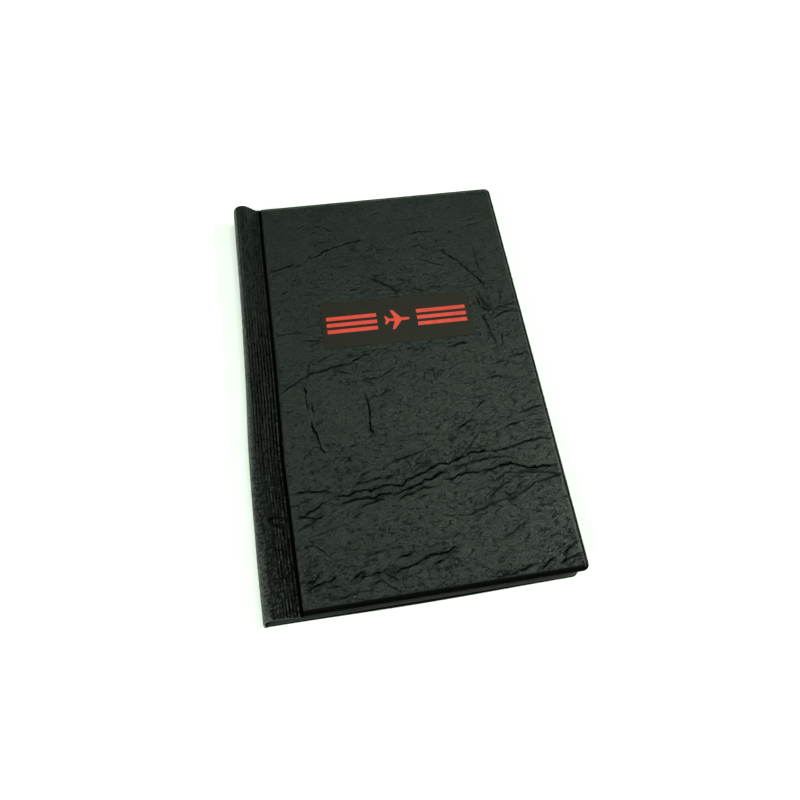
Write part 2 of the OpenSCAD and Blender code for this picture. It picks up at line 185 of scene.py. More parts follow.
# The cover's creases, by strength: each is a route in the frame's own x and y
COVER_CREASES = {
    1.0: [
        [(-39, -60.5), (-35, -61), (-30, -60.8), (-27, -59.4), (-23, -59.3), (-19.6, -60.4), (-16, -59)],
        [(-19.6, -60.4), (-13.6, -58.6), (-9, -58.5), (-5.4, -59.9), (-1.4, -57.9), (8.6, -54.3),
            (14.3, -51.8)],
        [(-36, -64.9), (-30, -63.7), (-24, -63.5), (-17.9, -63.7), (-13.6, -62.5), (-7.5, -63.2)],
        [(-10, -62.6), (-7.5, -63.2), (-3.6, -62.4), (4.3, -60), (7, -58.3), (10.6, -58.5), (19, -55)],
        [(15.4, -60), (21.4, -60.1), (24.6, -58.5), (30.7, -58.2), (35, -58.7), (37, -59.9)],
        [(-44.2, -18.5), (-43.9, -22.9), (-42.7, -27.1), (-41.3, -32.5), (-38.5, -39.5)],
    ],
    0.9: [
        [(8.6, -54.3), (14.3, -51.8), (20, -52), (27, -49.9), (35, -47.9), (43, -48.4)],
        [(35, -58.8), (39.3, -59.3)],
        [(36.4, -56.8), (40.7, -58), (45.7, -57.3), (51.4, -56.4), (55.7, -58), (61.4, -59.9), (73, -60)],
        [(-58, -67.8), (-52, -68.6), (-47, -70), (-42, -69.1)],
        [(-15.5, -6), (-14.6, -12.1), (-13.6, -16.4), (-14.9, -21.4), (-15, -26.4), (-13.7, -32)],
        [(-35.5, -101.2), (-31.8, -99.5), (-26.5, -96.8)],
        [(-21.5, -99), (-18.2, -101), (-16.4, -101.9), (-12, -105.3)],
    ],
    0.8: [
        [(-57, -56.5), (-50, -55.9), (-45.7, -57), (-40.4, -57), (-38.4, -58.4)],
        [(-54, -68), (-46.4, -64.9), (-40.5, -61.6)], [(-40.6, -64.6), (-37, -63.5)],
        [(26, -35.3), (30.7, -33.2), (38, -30)], [(-45.3, 1), (-45.1, -6.4), (-45, -10), (-45.4, -15)],
        [(-43.2, -9.8), (-42.4, -12.9), (-42.7, -17)],
        [(-58, -99.6), (-52.7, -99.2), (-50, -96.5), (-46.8, -95.1)],
        [(-56.5, -102.7), (-50, -100.4), (-43.6, -99.8), (-40.4, -97.4)],
        [(-16.4, -101.9), (-12.7, -99.8), (-7.3, -99.2), (-1.8, -97.1), (3.6, -95.5), (10.9, -94.6),
            (18, -92.9)], [(-13.5, -95.5), (-9.1, -93.3), (-3, -92)],
        [(53, -110.4), (58.2, -106.9), (62.8, -104.3)], [(34.5, 12.5), (39.1, 13.5), (45, 13.9)],
        [(-34, 76), (-30, 77.6), (-23.6, 81.5), (-19.1, 82.6), (-9.1, 85.1), (-2, 85.7)],
    ],
    0.7: [
        [(-29, -56.9), (-24.3, -55.1), (-19.3, -55.1), (-11.4, -53.6)],
        [(-25, -52.9), (-22, -51.4), (-18, -50.5)], [(-8, -47.2), (-4.6, -46.1), (3.2, -45.4), (9, -43.4)],
        [(-27, -68.6), (-25, -67.3), (-19.3, -66.1), (-12, -64.7)],
        [(-8, -66.6), (-0.7, -64.3), (6.4, -62.1), (12.5, -62.5)], [(37, -67), (42.5, -68)],
        [(51, -38.5), (56.1, -36.3), (63, -35.3)],
        [(-32.5, -101.2), (-27.3, -100.1), (-20.9, -99.5), (-16, -97.6)],
        [(2, -100.6), (6.4, -99.5), (10, -97.7)],
        [(31, -110.6), (40, -109.8), (47.3, -107.8), (53.5, -106.7)],
        [(62, -109.1), (67.3, -106.7), (75.5, -105.1)], [(65, -105.2), (70, -101.9), (74.2, -99.8)],
        [(-58.3, -3.2), (-52.7, -0.2), (-46.4, 3.6), (-40.9, 6), (-34.5, 7.1), (-21.8, 9.6), (-9.5, 14.6)],
        [(-29.5, 6.4), (-24.5, 4.8), (-21, 3.3)], [(53, 43.5), (55.5, 36.2), (58.4, 31)],
        [(-58.5, 71.2), (-50.9, 71.5), (-45.5, 72.6), (-40.4, 73.6)], [(-36, 76), (-31.6, 79.7)],
        [(39.5, 74.6), (44.5, 68.5), (50.9, 62.6), (54.5, 56.7), (58.2, 50.8), (60.2, 46)],
        [(-6, 62.5), (0, 58.5), (5.5, 54.9), (10, 51.3), (15, 47.9)],
    ],
    0.6: [
        [(37, -47.9), (45.7, -49.1), (57, -46.8), (68.6, -44.9), (75, -46.2)],
        [(20.7, -54.4), (28.6, -53.6), (36.4, -52.5), (42, -52), (50, -52.2)], [(-30, -58.6), (-25, -59.2)],
        [(-57, -74.2), (-51, -72.2), (-46, -70.6)], [(-13.5, -56), (-10, -54.1), (-5.5, -53.5)],
        [(-31, -71.8), (-27.5, -70.6)], [(-48, -78.2), (-43, -76.4)], [(3, -50.2), (13, -49.8)],
        [(-31, -44.5), (-27.9, -42.1), (-25, -44.8)],
        [(35.5, -72.2), (40, -70.1), (42.1, -68), (50.5, -65)], [(43, -69.4), (47, -71.8), (52, -71.3)],
        [(50, -68.4), (55, -67)], [(39.5, -25), (46, -21)], [(60, -30.5), (71.4, -28.4), (76, -27.4)],
        [(48.5, -8.8), (54.6, -8), (59.5, -9.6)], [(-10, -11.6), (-5, -9.4), (-0.4, -8.1)],
        [(-56, -83.8), (-50.5, -81.9), (-47.3, -83.7), (-42.2, -89.9)],
        [(-27, -91.9), (-21.8, -90.1), (-15.5, -89.1)], [(-46, -102.2), (-38.5, -102.9)],
        [(-45, -106.7), (-38.6, -108.5), (-31, -106.4)],
        [(-28.5, -104.9), (-20.9, -103.3), (-16.4, -106.9), (-10.5, -111.2)],
        [(35.8, -106.5), (39.5, -109.8)], [(-43.2, 26.8), (-37.3, 25.3), (-32.8, 24.4)],
        [(55, 30.2), (56.4, 22.5), (58.2, 12.5), (59.2, 8.3)],
        [(54.5, 32.3), (61.8, 31.8), (67.3, 33.3), (76, 34.4)], [(60, 26), (67.3, 29.4), (75.8, 30.8)],
        [(55, 46), (58.2, 37.1), (59.5, 33)], [(-30.5, 97.5), (-25.5, 97.6), (-19.6, 94.3)],
        [(23, 86.3), (30.9, 87.4), (36, 87.3)], [(-3.6, 77.4), (0, 79), (5, 80.4)],
        [(27.8, 68.8), (31.8, 66.7), (38.6, 64.3)], [(10.5, 53.3), (16.8, 54.6)],
    ],
    0.5: [
        [(-1.4, -46.8), (1.4, -49.6), (3, -52.3)], [(-1, -68), (9.5, -65.6)], [(2, -53.4), (8, -51.5)],
        [(25, -79.6), (35, -76.1), (44.3, -73.7), (48.6, -74.6), (57, -70.7), (61.4, -67.9), (75.7, -65.7)],
        [(42, -64.5), (45, -62.1), (49.3, -60.7), (54.3, -61.6), (61.4, -62), (75.7, -65)],
        [(-52, -14), (-47, -16.6)], [(-40.5, -88.6), (-41.6, -93)], [(14, -88.9), (21.5, -86.9)],
        [(38.5, -92.6), (45.5, -90.1), (51.5, -86.1)], [(4, -91.7), (8.8, -90.1)],
        [(-17, -1), (-5.5, -0.2), (-1.8, 2.1), (2, 3.7)], [(-43.5, 1), (-41.8, 8.9), (-40.9, 12.5)],
        [(63.4, 17.6), (61.8, 11.6), (60.5, 7)], [(21.8, 3), (22.3, -6)], [(16.8, -1), (15.8, -6)],
        [(2, -1.8), (8.6, 0.9)], [(55, -1.3), (59.1, 0.3), (64, -0.8)], [(64, 2.4), (70.9, 3.5), (76, 4)],
        [(-57, 67.4), (-50.4, 69.5)], [(-40.5, 96.5), (-33.2, 100)], [(-33, 93.4), (-27, 95)],
        [(57, 87.3), (61.8, 89.6), (68.6, 91.2)], [(58.6, 92), (65, 94.7)], [(-17.8, 68.4), (-11.5, 70)],
        [(23.2, 77), (30.4, 79.7)], [(58.5, 76.5), (59.1, 68.5), (59.3, 61.3), (61.2, 55)],
        [(-1.5, 51), (4, 52.3)], [(18.5, 51.5), (27.8, 48.3)], [(-16, 52.9), (-7.8, 55)],
        [(52.3, 48.5), (60.3, 49.3)],
    ],
    0.4: [
        [(-32, -50.3), (-27, -47.2)], [(39, -19), (49.3, -17.5)], [(27, -49), (34.3, -42.9), (39.5, -37)],
        [(-58.4, 30.3), (-47.3, 31.2), (-41, 30.2)], [(-39, 11), (-32.7, 14.8), (-27, 16.8)],
        [(3, 102.4), (12.2, 105.2)],
    ],
}

# Where the cover's leather is more crinkled than elsewhere: middle, reach along x and y, and how much more
CRINKLED = [
    (-35, -45, 26, 10, 0.7), (-48, -64, 14, 9, 0.6), (10, -50, 40, 9, 0.6), (-46, -102, 14, 8, 0.9),
    (48, -66, 16, 8, 0.8), (12, 57, 18, 9, 0.8), (62, 32, 11, 17, 0.7), (5, 12, 30, 9, 0.6),
    (35, -38, 16, 12, 0.5), (-15, -103, 14, 6, 0.6), (64, -105, 12, 8, 0.4), (2, -35, 26, 6, 0.5),
]
SMOOTH = [(-46, 90, 14, 22, 0.5), (-28, -14, 10, 12, 0.5), (35, -96, 22, 8, 0.5), (25, 100, 30, 10, 0.4)]


def spots(x, y, places):
    """The sum of soft round spots."""
    total = np.zeros(x.shape)
    for cx, cy, rx, ry, amount in places:
        total += amount * np.exp(-(((x - cx) / rx) ** 2) - ((y - cy) / ry) ** 2)
    return total


CUT_REACH = 1.5
NO_CUT = 9.0


def crease_field(x, y, creases):
    """Signed distance to the nearest crease, and its strength, which is 0 well away from it."""
    wx, wy = wander(x, y, 8.0, 0.6, 301)
    wx, wy = wander(wx, wy, 3.1, 0.6, 311)
    score = np.full(x.shape, 1e6)
    distance, strength = np.full(x.shape, NO_CUT), np.zeros(x.shape)
    for power, route in [(power, route) for power, routes in creases.items() for route in routes]:
        lo, hi = np.min(route, axis=0) - 3, np.max(route, axis=0) + 3
        near = (wx > lo[0]) & (wx < hi[0]) & (wy > lo[1]) & (wy < hi[1])
        signed, to_end = distance_to_line(wx[near], wy[near], route)
        here = power * fade(to_end / (2 + 3 * power) + 0.12)
        rank = np.abs(signed) / (0.3 + here)
        better = rank < score[near]
        score[near] = np.where(better, rank, score[near])
        distance[near] = np.where(better, signed, distance[near])
        strength[near] = np.where(better, here, strength[near])
    strength = strength * np.clip(0.95 + 0.5 * noise(x / 4, y / 4, 321), 0.45, 1.2)
    return distance, strength * fade((CUT_REACH - np.abs(distance)) / 0.6)


def crease_height(distance, strength):
    """Height of the creases themselves, with a low lip on either side."""
    groove = np.exp(-((distance / 0.55) ** 2))
    lips = np.exp(-(((np.abs(distance) - 1.25) / 0.6) ** 2))
    return strength * (0.1 * lips - 0.42 * groove)


def crinkle_relief(x, y, seed, amount):
    """Height of the leather's small crinkles, and the painted shade in their valleys."""
    patch = 0.5 + 0.8 * noise(x / 23, y / 17, seed + 5)
    broken = fade(0.5 + 1.4 * noise(x / 6, y / 4, seed + 6))
    upright = noise(x / 15, y / 19, seed + 7)
    layers = [
        (0.16, crease_net(x, y, 15, 4.6, 0.16, 0.42, seed + 100) * fade(patch + 0.15)),
        (0.13, crease_net(x, y, 8, 2.7, 0.1, 0.32, seed + 200) * fade(patch * 1.1)),
        (0.08, crease_net(x, y, 4.2, 1.9, -0.05, 0.27, seed + 300) * fade(0.75 - 0.4 * patch)),
        (0.11, crease_net(x, y, 4.5, 9, 0.45, 0.3, seed + 400) * fade(0.1 + 0.9 * upright)),
    ]
    height, valley = np.zeros(x.shape), np.zeros(x.shape)
    for depth, net in layers:
        net = net * (0.25 + 0.75 * broken) * amount
        height -= depth * net
        # the valley mask is painted shade that darkens the crinkles' valleys
        valley = np.maximum(valley, net * depth / 0.16)
    pebble = 0.028 * noise(x / 1.5, y / 1.3, seed + 8) + 0.02 * noise(x / 0.9, y / 0.8, seed + 9)
    return height * 0.4 + pebble, np.clip(valley * 0.15, 0, 1)


def label_clear(x, y):
    """0 under the title label and 1 outside it, so that the label lies flat."""
    lo, hi = low("title_label"), high("title_label")
    outside = np.maximum(np.maximum(lo[0] - x, x - hi[0]), np.maximum(lo[1] - y, y - hi[1]))
    return fade(outside / 2.0 + 0.6)


def cover_relief(x, y):
    """The front cover's whole relief: soft waves, main creases and small crinkles."""
    waves = 0.10 * noise(x / 34, y / 29, 41) + 0.05 * noise(x / 13, y / 9, 42)
    distance, strength = crease_field(x, y, COVER_CREASES)
    amount = 0.6 + 0.3 * noise(x / 17, y / 13, 43) + 0.7 * spots(x, y, CRINKLED) - 0.7 * spots(x, y, SMOOTH)
    amount = np.clip(amount + 0.45 * fade((-60 - y) / 40), 0.2, 1.3)
    clear = label_clear(x, y)
    small, valley = crinkle_relief(x, y, 51, amount * clear)
    relief = waves + crease_height(distance, strength * clear) + small
    return relief, valley, np.stack([distance, strength * clear, amount * clear], 2)


# ---------------- mesh making

def new_piece(name, points, faces, rest=None, valley=None, cut=None, smooth=True):
    """A mesh object from millimetre points. rest holds the flat coordinates that its grain follows.

    cut holds the signed distance to the nearest crease, its strength and the amount of fine crinkles.
    """
    points = np.asarray(points, float)
    mesh = bpy.data.meshes.new(name)
    mesh.from_pydata((points * MM).tolist(), [], faces)
    mesh.validate()
    piece = bpy.data.objects.new(name, mesh)
    bpy.context.collection.objects.link(piece)
    rest = points if rest is None else np.asarray(rest, float)
    grain = mesh.attributes.new("grain_at", "FLOAT_VECTOR", "POINT")
    grain.data.foreach_set("vector", rest.astype(np.float32).ravel())
    # the valley attribute holds painted shade: the leather shader darkens the colour by it
    valley_shade_layer = mesh.attributes.new("valley", "FLOAT", "POINT")
    values = np.zeros(len(points)) if valley is None else np.asarray(valley, float).ravel()
    valley_shade_layer.data.foreach_set("value", values.astype(np.float32))
    if cut is not None:
        cuts = np.full((len(points), 3), (NO_CUT, 0.0, 0.5), np.float32)
        cuts[: cut.shape[0] * cut.shape[1]] = cut.reshape(-1, 3)
        mesh.attributes.new("cut", "FLOAT_VECTOR", "POINT").data.foreach_set("vector", cuts.ravel())
    mesh.polygons.foreach_set("use_smooth", [smooth] * len(mesh.polygons))
    return piece


def grid_faces(rows, columns, start=0, flip=False):
    """Four-sided faces of a grid whose points run along each row in turn."""
    row, column = np.meshgrid(np.arange(rows - 1), np.arange(columns - 1), indexing="ij")
    a = (start + row * columns + column).ravel()
    faces = np.stack([a, a + 1, a + 1 + columns, a + columns], 1)
    return (faces[:, ::-1] if flip else faces).tolist()


def grid_border(rows, columns):
    """The grid's outer points in order, anticlockwise when x runs along a row and y along a column."""
    bottom = list(range(columns))
    right = [r * columns + columns - 1 for r in range(1, rows)]
    top = [(rows - 1) * columns + c for c in range(columns - 2, -1, -1)]
    left = [r * columns for r in range(rows - 2, 0, -1)]
    return bottom + right + top + left


def grid_normals(points):
    """Unit normals of a grid of points."""
    along = np.gradient(points, axis=1)
    across = np.gradient(points, axis=0)
    normal = np.cross(along, across)
    return normal / (np.linalg.norm(normal, axis=2, keepdims=True) + 1e-12)


def closed_shell(outer, inner):
    """Points and faces of a closed shell between two grids of the same size."""
    rows, columns = outer.shape[:2]
    count = rows * columns
    faces = grid_faces(rows, columns) + grid_faces(rows, columns, count, True)
    border = grid_border(rows, columns)
    for a, b in zip(border, border[1:] + border[:1]):
        faces.append([b, a, a + count, b + count])
    return np.concatenate([outer.reshape(-1, 3), inner.reshape(-1, 3)]), faces


def axis_steps(start, end, fine, coarse):
    """Positions from start to end, at the fine offsets near both ends and evenly spaced between."""
    fine = np.array(fine, float)
    inner_start, inner_end = start + fine[-1], end - fine[-1]
    count = max(2, int(round((inner_end - inner_start) / coarse)))
    middle = np.linspace(inner_start, inner_end, count + 1)
    return np.concatenate([start + fine[:-1], middle, (end - fine[:-1])[::-1]])


# ---------------- covers

EDGE_STEPS = [0, 0.08, 0.2, 0.35, 0.55, 0.75, 0.9, 1.05, 1.2, 1.35, 1.5, 1.7, 1.95, 2.25, 2.6, 3.0, 3.5]
CREASE_STEPS = [-1.1, -0.7, -0.3, 0.1, 0.4, 0.6, 0.64, 0.7, 0.8, 0.95, 1.15, 1.4, 1.7, 2.05, 2.5, 3.1, 3.8]
RIM_DROP = 1.45
VALLEY_AT = 1.2


def quarter_round(t):
    """A quarter circle's height, from 0 at 0 to 1 at 1."""
    t = np.clip(t, 0, 1)
    return np.sqrt(1 - (1 - t) ** 2)


def rim_height(d, top):
    """Height of a cover's outer face at a distance in from its edge: rim, weld line and rolled edge."""
    rim = top - RIM_DROP - 0.4 * (1 - quarter_round(d / 0.4))
    weld = -0.34 * np.exp(-(((d - VALLEY_AT) / 0.2) ** 2))
    roll = RIM_DROP * quarter_round((d - VALLEY_AT - 0.15) / 1.9)
    return rim + weld + roll


def round_corners(x, y, x_end, tail, head, r):
    """Moves a rectangle's points near its two corners at x_end onto round corners."""
    half, y_mid = (head - tail) / 2, (head + tail) / 2
    a = x - (x_end - r)
    b = np.abs(y - y_mid) - (half - r)
    near = (a > 0) & (b > 0)
    reach = np.maximum(a, b) / np.maximum(np.hypot(a, b), 1e-9)
    side = np.sign(y - y_mid)
    new_x = np.where(near, x_end - r + a * reach, x)
    new_y = np.where(near, y_mid + side * (half - r + b * reach), y)
    return new_x, new_y


def cover_grid(left_steps, left_of, right, tail, head, pitch):
    """A cover's grid: x, y, distance from its outer edges and distance from its left line."""
    rows = axis_steps(tail, head, EDGE_STEPS, pitch)
    left = left_of(rows)[:, None]
    steps = np.array(left_steps, float)
    count = int(round((right - SPINE_X - left_steps[-1] - EDGE_STEPS[-1] - SPINE_WIDTH) / pitch))
    share = np.linspace(0, 1, count + 1)[1:-1]
    start, end = left + steps[-1], right - EDGE_STEPS[-1]
    middle = start + (end - start) * share[None, :]
    edge = np.repeat(right - np.array(EDGE_STEPS[::-1])[None, :], len(rows), 0)
    x = np.concatenate([left + steps[None, :], middle, edge], 1)
    y = np.repeat(rows[:, None], x.shape[1], 1)
    inset = np.minimum(np.minimum(y - tail, head - y), right - x)
    from_left = x - left
    return x, y, inset, from_left


def close_cover(grid, rings, floor_z):
    """Points and faces of a cover's skin, closed by rings below its border and a flat face."""
    rows, columns = grid.shape[:2]
    faces = grid_faces(rows, columns)
    border = grid_border(rows, columns)
    points = [grid.reshape(-1, 3)]
    centre = grid.reshape(-1, 3)[border].mean(axis=0)
    loop, count = border, rows * columns
    for inset, z in [*rings, (rings[-1][0] + 0.2, floor_z)]:
        ring = grid.reshape(-1, 3)[border].copy()
        inward = centre[:2] - ring[:, :2]
        # the covers are near enough rectangles that a pull along each axis keeps the rim's width even
        half = np.abs(inward).max(axis=0)
        ring[:, :2] += np.sign(inward) * inset * fade((np.abs(inward) / half - 0.9) / 0.1)
        ring[:, 2] = z
        points.append(ring)
        new_loop = list(range(count, count + len(ring)))
        for i in range(len(ring)):
            k = (i + 1) % len(ring)
            faces.append([loop[i], new_loop[i], new_loop[k], loop[k]])
        loop, count = new_loop, count + len(ring)
    faces.append(loop[::-1])
    return np.concatenate(points), faces


def padded(values, total, rest=0.0):
    """The values, filled up to a total number of them."""
    return np.concatenate([values.ravel(), np.full(total - values.size, rest)])


def make_front_cover_skin():
    """The creased leather of the front cover, bent at the crease where it meets the spine."""
    x, y, inset, e = cover_grid(CREASE_STEPS, crease_x, FORE_X, FRONT_TAIL, FRONT_HEAD, 0.58)
    relief, valley, cut = cover_relief(x, y)
    top = FRONT_TOP - 0.24
    rolled = rim_height(inset, top)
    at_crease = WEB_Z - 0.45 + (top - WEB_Z + 0.45) * quarter_round((e - 0.6) / 0.9)
    z = np.minimum(rolled, at_crease)
    calm = fade((inset - 1.6) / 2.2) * fade((e - 0.9) / 1.6)
    z = np.minimum(z + relief * (0.12 + 0.88 * calm), FRONT_TOP - 0.01)
    # painted shade along the crease where the cover meets the spine, and in the crinkles' valleys
    valley = np.maximum(valley * calm, 1 - fade((np.abs(e - 0.1) - 0.55) / 0.4))
    # painted shade in the weld line near the edge
    valley = np.maximum(valley, 0.9 * np.exp(-(((inset - VALLEY_AT) / 0.28) ** 2)))
    # painted shade over the rolled tail edge, which faces away from the lights
    valley = np.maximum(valley, 0.96 * fade((FRONT_TAIL + 3.1 - y) / 0.9))
    px, py = round_corners(x, y, FORE_X, FRONT_TAIL, FRONT_HEAD, CORNER_R)
    rings = [(0.02, FRONT_LOW + 0.55), (0.05, FRONT_LOW + 0.2), (0.25, FRONT_LOW + 0.05)]
    points, faces = close_cover(np.stack([px, py, z], 2), rings, FRONT_LOW + 0.3)
    # painted shade on the cover's side walls and underside
    valley = padded(valley, len(points), 0.75)
    piece = new_piece("front_cover_leather", points, faces, valley=valley, cut=cut)
    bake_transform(piece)
    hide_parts("front_cover_skin")
    return piece


def back_left(y):
    return flank_x(y) + 0.5


def make_back_cover_skin():
    """The same skin the other way up: its outer face lies on the table."""
    left_steps = [0, 0.5, 1.2, 2.4]
    x, y, inset, _ = cover_grid(left_steps, back_left, BACK_FORE_X, BACK_TAIL, BACK_HEAD, 1.15)
    small, valley = crinkle_relief(x, y, 71, 0.9)
    distance, strength = crease_field(-y + 20, x * 0.9, COVER_CREASES)
    cut = np.stack([distance, strength * 0.5, 0.5 + 0.3 * noise(x / 17, y / 13, 73)], 2)
    depth = rim_height(inset, BACK_TOP - 0.1)
    calm = fade((inset - 1.6) / 2.2)
    z = np.maximum(BACK_TOP - depth - small * calm, 0.02)
    px, py = round_corners(x, y, BACK_FORE_X, BACK_TAIL, BACK_HEAD, CORNER_R)
    bow = 0.35 * np.cos(math.pi * np.clip((x - SPINE_X) / (BACK_FORE_X - SPINE_X), 0, 1) * 2)
    py = py + (bow - 0.35) * fade((BACK_TAIL - y + 12) / 12)
    rings = [(0.02, BACK_TOP - 0.5), (0.08, BACK_TOP - 0.16), (0.3, BACK_TOP - 0.03)]
    points, faces = close_cover(np.stack([px, py, z], 2)[::-1], rings, BACK_TOP - 0.3)
    # painted shade in the crinkles' valleys and on the cover's side walls
    valley = padded((valley * calm)[::-1], len(points), 0.8)
    piece = new_piece("back_cover_leather", points, faces, valley=valley, cut=cut[::-1])
    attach(piece, "back_cover")
    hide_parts("back_cover_skin")
    return piece


def make_lining(name, node, body, left_of, right, tail, head, z_low, z_high, face_up):
    """An inner vinyl sheet, with its weld line pressed in near the edge."""
    x, y, inset, e = cover_grid([0, 0.3, 0.8, 1.2, 1.6, 2.4, 3.5], left_of, right, tail, head, 2.6)
    near_edge = np.minimum(inset, e)
    weld = 0.16 * np.exp(-(((near_edge - 1.3) / 0.22) ** 2))
    soft = 0.05 * noise(x / 22, y / 27, 83) * fade(near_edge / 5) + 0.05 * (1 - fade(near_edge / 0.5))
    shown = weld + soft + 0.05
    px, py = round_corners(x, y, right, tail, head, CORNER_R)
    upper = z_high - shown if face_up else np.full(x.shape, z_high)
    lower = np.full(x.shape, z_low) if face_up else z_low + shown
    points, faces = closed_shell(np.stack([px, py, upper], 2), np.stack([px, py, lower], 2))
    piece = new_piece(name, points, faces)
    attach(piece, body)
    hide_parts(node)
    return piece


def make_board(name, node, body, drop):
    """A cover's board, its top let down a little so that the leather's creases have room to sink."""
    lo, hi = low(node), high(node)
    fine = [0, 0.1, 0.3, 1]
    x, y = np.meshgrid(axis_steps(lo[0], hi[0], fine, 6.0), axis_steps(lo[1], hi[1], fine, 6.0))
    inset = np.minimum(np.minimum(x - lo[0], hi[0] - x), np.minimum(y - lo[1], hi[1] - y))
    worn = 0.15 * (1 - quarter_round(inset / 0.3)) + 0.03 * noise(x / 9, y / 9, 61)
    outer = np.stack([x, y, hi[2] - drop - 0.03 - worn], 2)
    inner = np.stack([x, y, np.full(x.shape, lo[2] + 0.02)], 2)
    points, faces = closed_shell(outer, inner)
    piece = new_piece(name, points, faces)
    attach(piece, body)
    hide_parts(node)
    return piece


# ---------------- ribbed spine

LAYERS_END_X = SPINE_X + 12.2
GROOVES = 8
GROOVE_PITCH = 1.43
FIRST_GROOVE = 1.9
GROOVE_DEPTH = 0.42
FLANK_POWER = 2.6
SLOPE_POWER = 1.2
FOOT_Z = WEB_Z + 0.2


def spine_base(y):
    """The spine's smooth outer section at each y: points, and the distance along the section."""
    flank, crease = flank_x(y)[:, None], crease_x(y)[:, None]
    foot = crease - 0.7
    corner = [(1.1, 0.04), (0.55, 0.1), (0.2, 0.3), (0.04, 0.7), (0, 1.2)]
    lower_x = np.concatenate([flank + c[0] for c in corner], 1)
    lower_z = np.concatenate([np.full_like(flank, c[1]) for c in corner], 1)
    wall = np.linspace(2.0, HINGE[2] - 0.7, 4)[None, :]
    wall_x, wall_z = np.repeat(flank, 4, 1), np.repeat(wall, len(y), 0)
    crown = CROWN_Z - 0.15
    turn = np.linspace(0, math.pi / 2, 40)[None, :]
    round_x = CROWN_X - (CROWN_X - flank) * np.cos(turn) ** (2 / FLANK_POWER)
    round_z = HINGE[2] + (crown - HINGE[2]) * np.sin(turn) ** (2 / FLANK_POWER) + 0 * flank
    share = np.linspace(0, 1, 72)[None, 1:]
    top_x = CROWN_X + (foot - CROWN_X) * share
    top_z = FOOT_Z + (crown - FOOT_Z) * (1 + np.cos(math.pi * share**SLOPE_POWER)) / 2 + 0 * flank
    tuck_x = foot + np.array([[0.12, 0.2]])
    tuck_z = FOOT_Z + np.array([[-0.25, -0.6]]) + 0 * flank
    x = np.concatenate([lower_x, wall_x, round_x, top_x, tuck_x], 1)
    z = np.concatenate([lower_z, wall_z, round_z, top_z, tuck_z], 1)
    # the two covers sit a little out of line, so the section leans that much along the spine
    shift = (FRONT_TAIL - BACK_TAIL) * fade((z - 1) / 9)
    points = np.stack([x, y[:, None] + (BACK_TAIL + BACK_HEAD) / 2 + shift, z], 2)
    step = np.linalg.norm(np.diff(points[:, :, [0, 2]], axis=1), axis=2)
    along = np.concatenate([np.zeros((len(y), 1)), np.cumsum(step, 1)], 1)
    return points, along


# The spine's strongest creases across the ribs, by strength
SPINE_CREASES = {
    1.0: [
        [(-72, -68.6), (-68, -67.9), (-64, -67.5), (-61, -68.2)],
    ],
    0.8: [
        [(-71, -70.4), (-66, -70.6), (-60.5, -71.2)],
    ],
    0.7: [
        [(-68, -52.5), (-64, -49)],
    ],
    0.6: [
        [(-64.5, 10.2), (-59.8, 10)], [(-62.5, 28.6), (-59.5, 27.8)],
        [(-70, -96.8), (-63, -95), (-60, -96)],
    ],
    0.5: [
        [(-71, -10), (-66.5, -10.6)], [(-69, 70), (-64, 69.7)],
    ],
}
GROOVE_REACH = 0.6


def groove_field(x, y):
    """Signed distance to the nearest pressed groove and its strength; grooves run beside the crease."""
    order = (crease_x(y) - x - FIRST_GROOVE) / GROOVE_PITCH
    order = order + 0.1 * noise(y / 14, np.full(y.shape, 3.1), 91)
    nearest = np.clip(np.round(order), 0, GROOVES - 1)
    distance = (order - nearest) * GROOVE_PITCH
    strength = 1 - 0.35 * fade((nearest - 4.5) / 3) * (0.6 + 0.4 * fade(-y / 40))
    strength = strength * (1 - 0.2 * fade((-25 - y) / 30) - 0.5 * fade((y - 5) / 60))
    strength = strength * np.clip(0.85 + 0.5 * noise(x / 1.2, y / 5, 93), 0.3, 1.1)
    return distance, strength * fade((GROOVE_REACH - np.abs(distance)) / 0.2)


def spine_relief(x, y, along):
    """Height, painted shade for the valleys and the foot, and cuts of the spine's leather: grooves, creases
    and small crinkles.
    """
    groove_distance, groove_strength = groove_field(x, y)
    distance, strength = crease_field(x, y, SPINE_CREASES)
    lower_half = fade((-20 - y) / 50)
    smooth_flank = fade((x - flank_x(y) - 0.3 - 3.4 * fade((-74 - y) / 14)) / 3)
    amount = 0.6 + 1.8 * lower_half * smooth_flank + 0.15 * noise(x / 5, y / 11, 95)
    small, valley = crinkle_relief(along * 1.2, y * 1.5, 131, amount)

    last = x.shape[1]
    column = np.arange(last)[None, :]
    calm = fade((column - 3) / 6) * fade((last - 3 - column) / 4)
    # painted shade where the spine's foot tucks into the crease
    foot = fade((column - last + 7) / 4)
    soft = 0.1 * noise(along / 5, y / 16, 141)
    pressed = -GROOVE_DEPTH * groove_strength * np.exp(-((groove_distance / 0.32) ** 2))
    height = (small + crease_height(distance, strength * 0.7) + soft) * calm + pressed
    to_end = np.minimum(y - y.min(), y.max() - y)
    height = height - 0.35 * (1 - quarter_round(to_end / 0.7)) * calm

    on_groove = np.abs(groove_distance) * 1.4 < np.abs(distance)
    cut = np.stack([
        np.where(on_groove, groove_distance * 1.4, distance),
        np.where(on_groove, groove_strength * 0.9, strength), amount,
    ], 2)
    return height, np.maximum(valley * calm, foot), cut


def make_spine_skin():
    """The ribbed leather over the spine, bent about its flank."""
    base, along = spine_base(np.linspace(-114, 114, 385))
    height, valley, cut = spine_relief(base[:, :, 0], base[:, :, 1], along)
    normal = grid_normals(base)
    inner = base - normal * 0.85
    inner[:, :, 2] = np.maximum(inner[:, :, 2], 0.3)
    points, faces = closed_shell(base + normal * height[:, :, None], inner)
    rest = np.stack([along, base[:, :, 1], np.zeros_like(along)], 2).reshape(-1, 3)
    piece = new_piece(
        "ribbed_spine_leather", points, faces, rest=np.concatenate([rest, rest]),
        valley=padded(valley, len(points)), cut=cut,
    )
    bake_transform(piece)
    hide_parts("ribbed_spine_skin")
    return piece


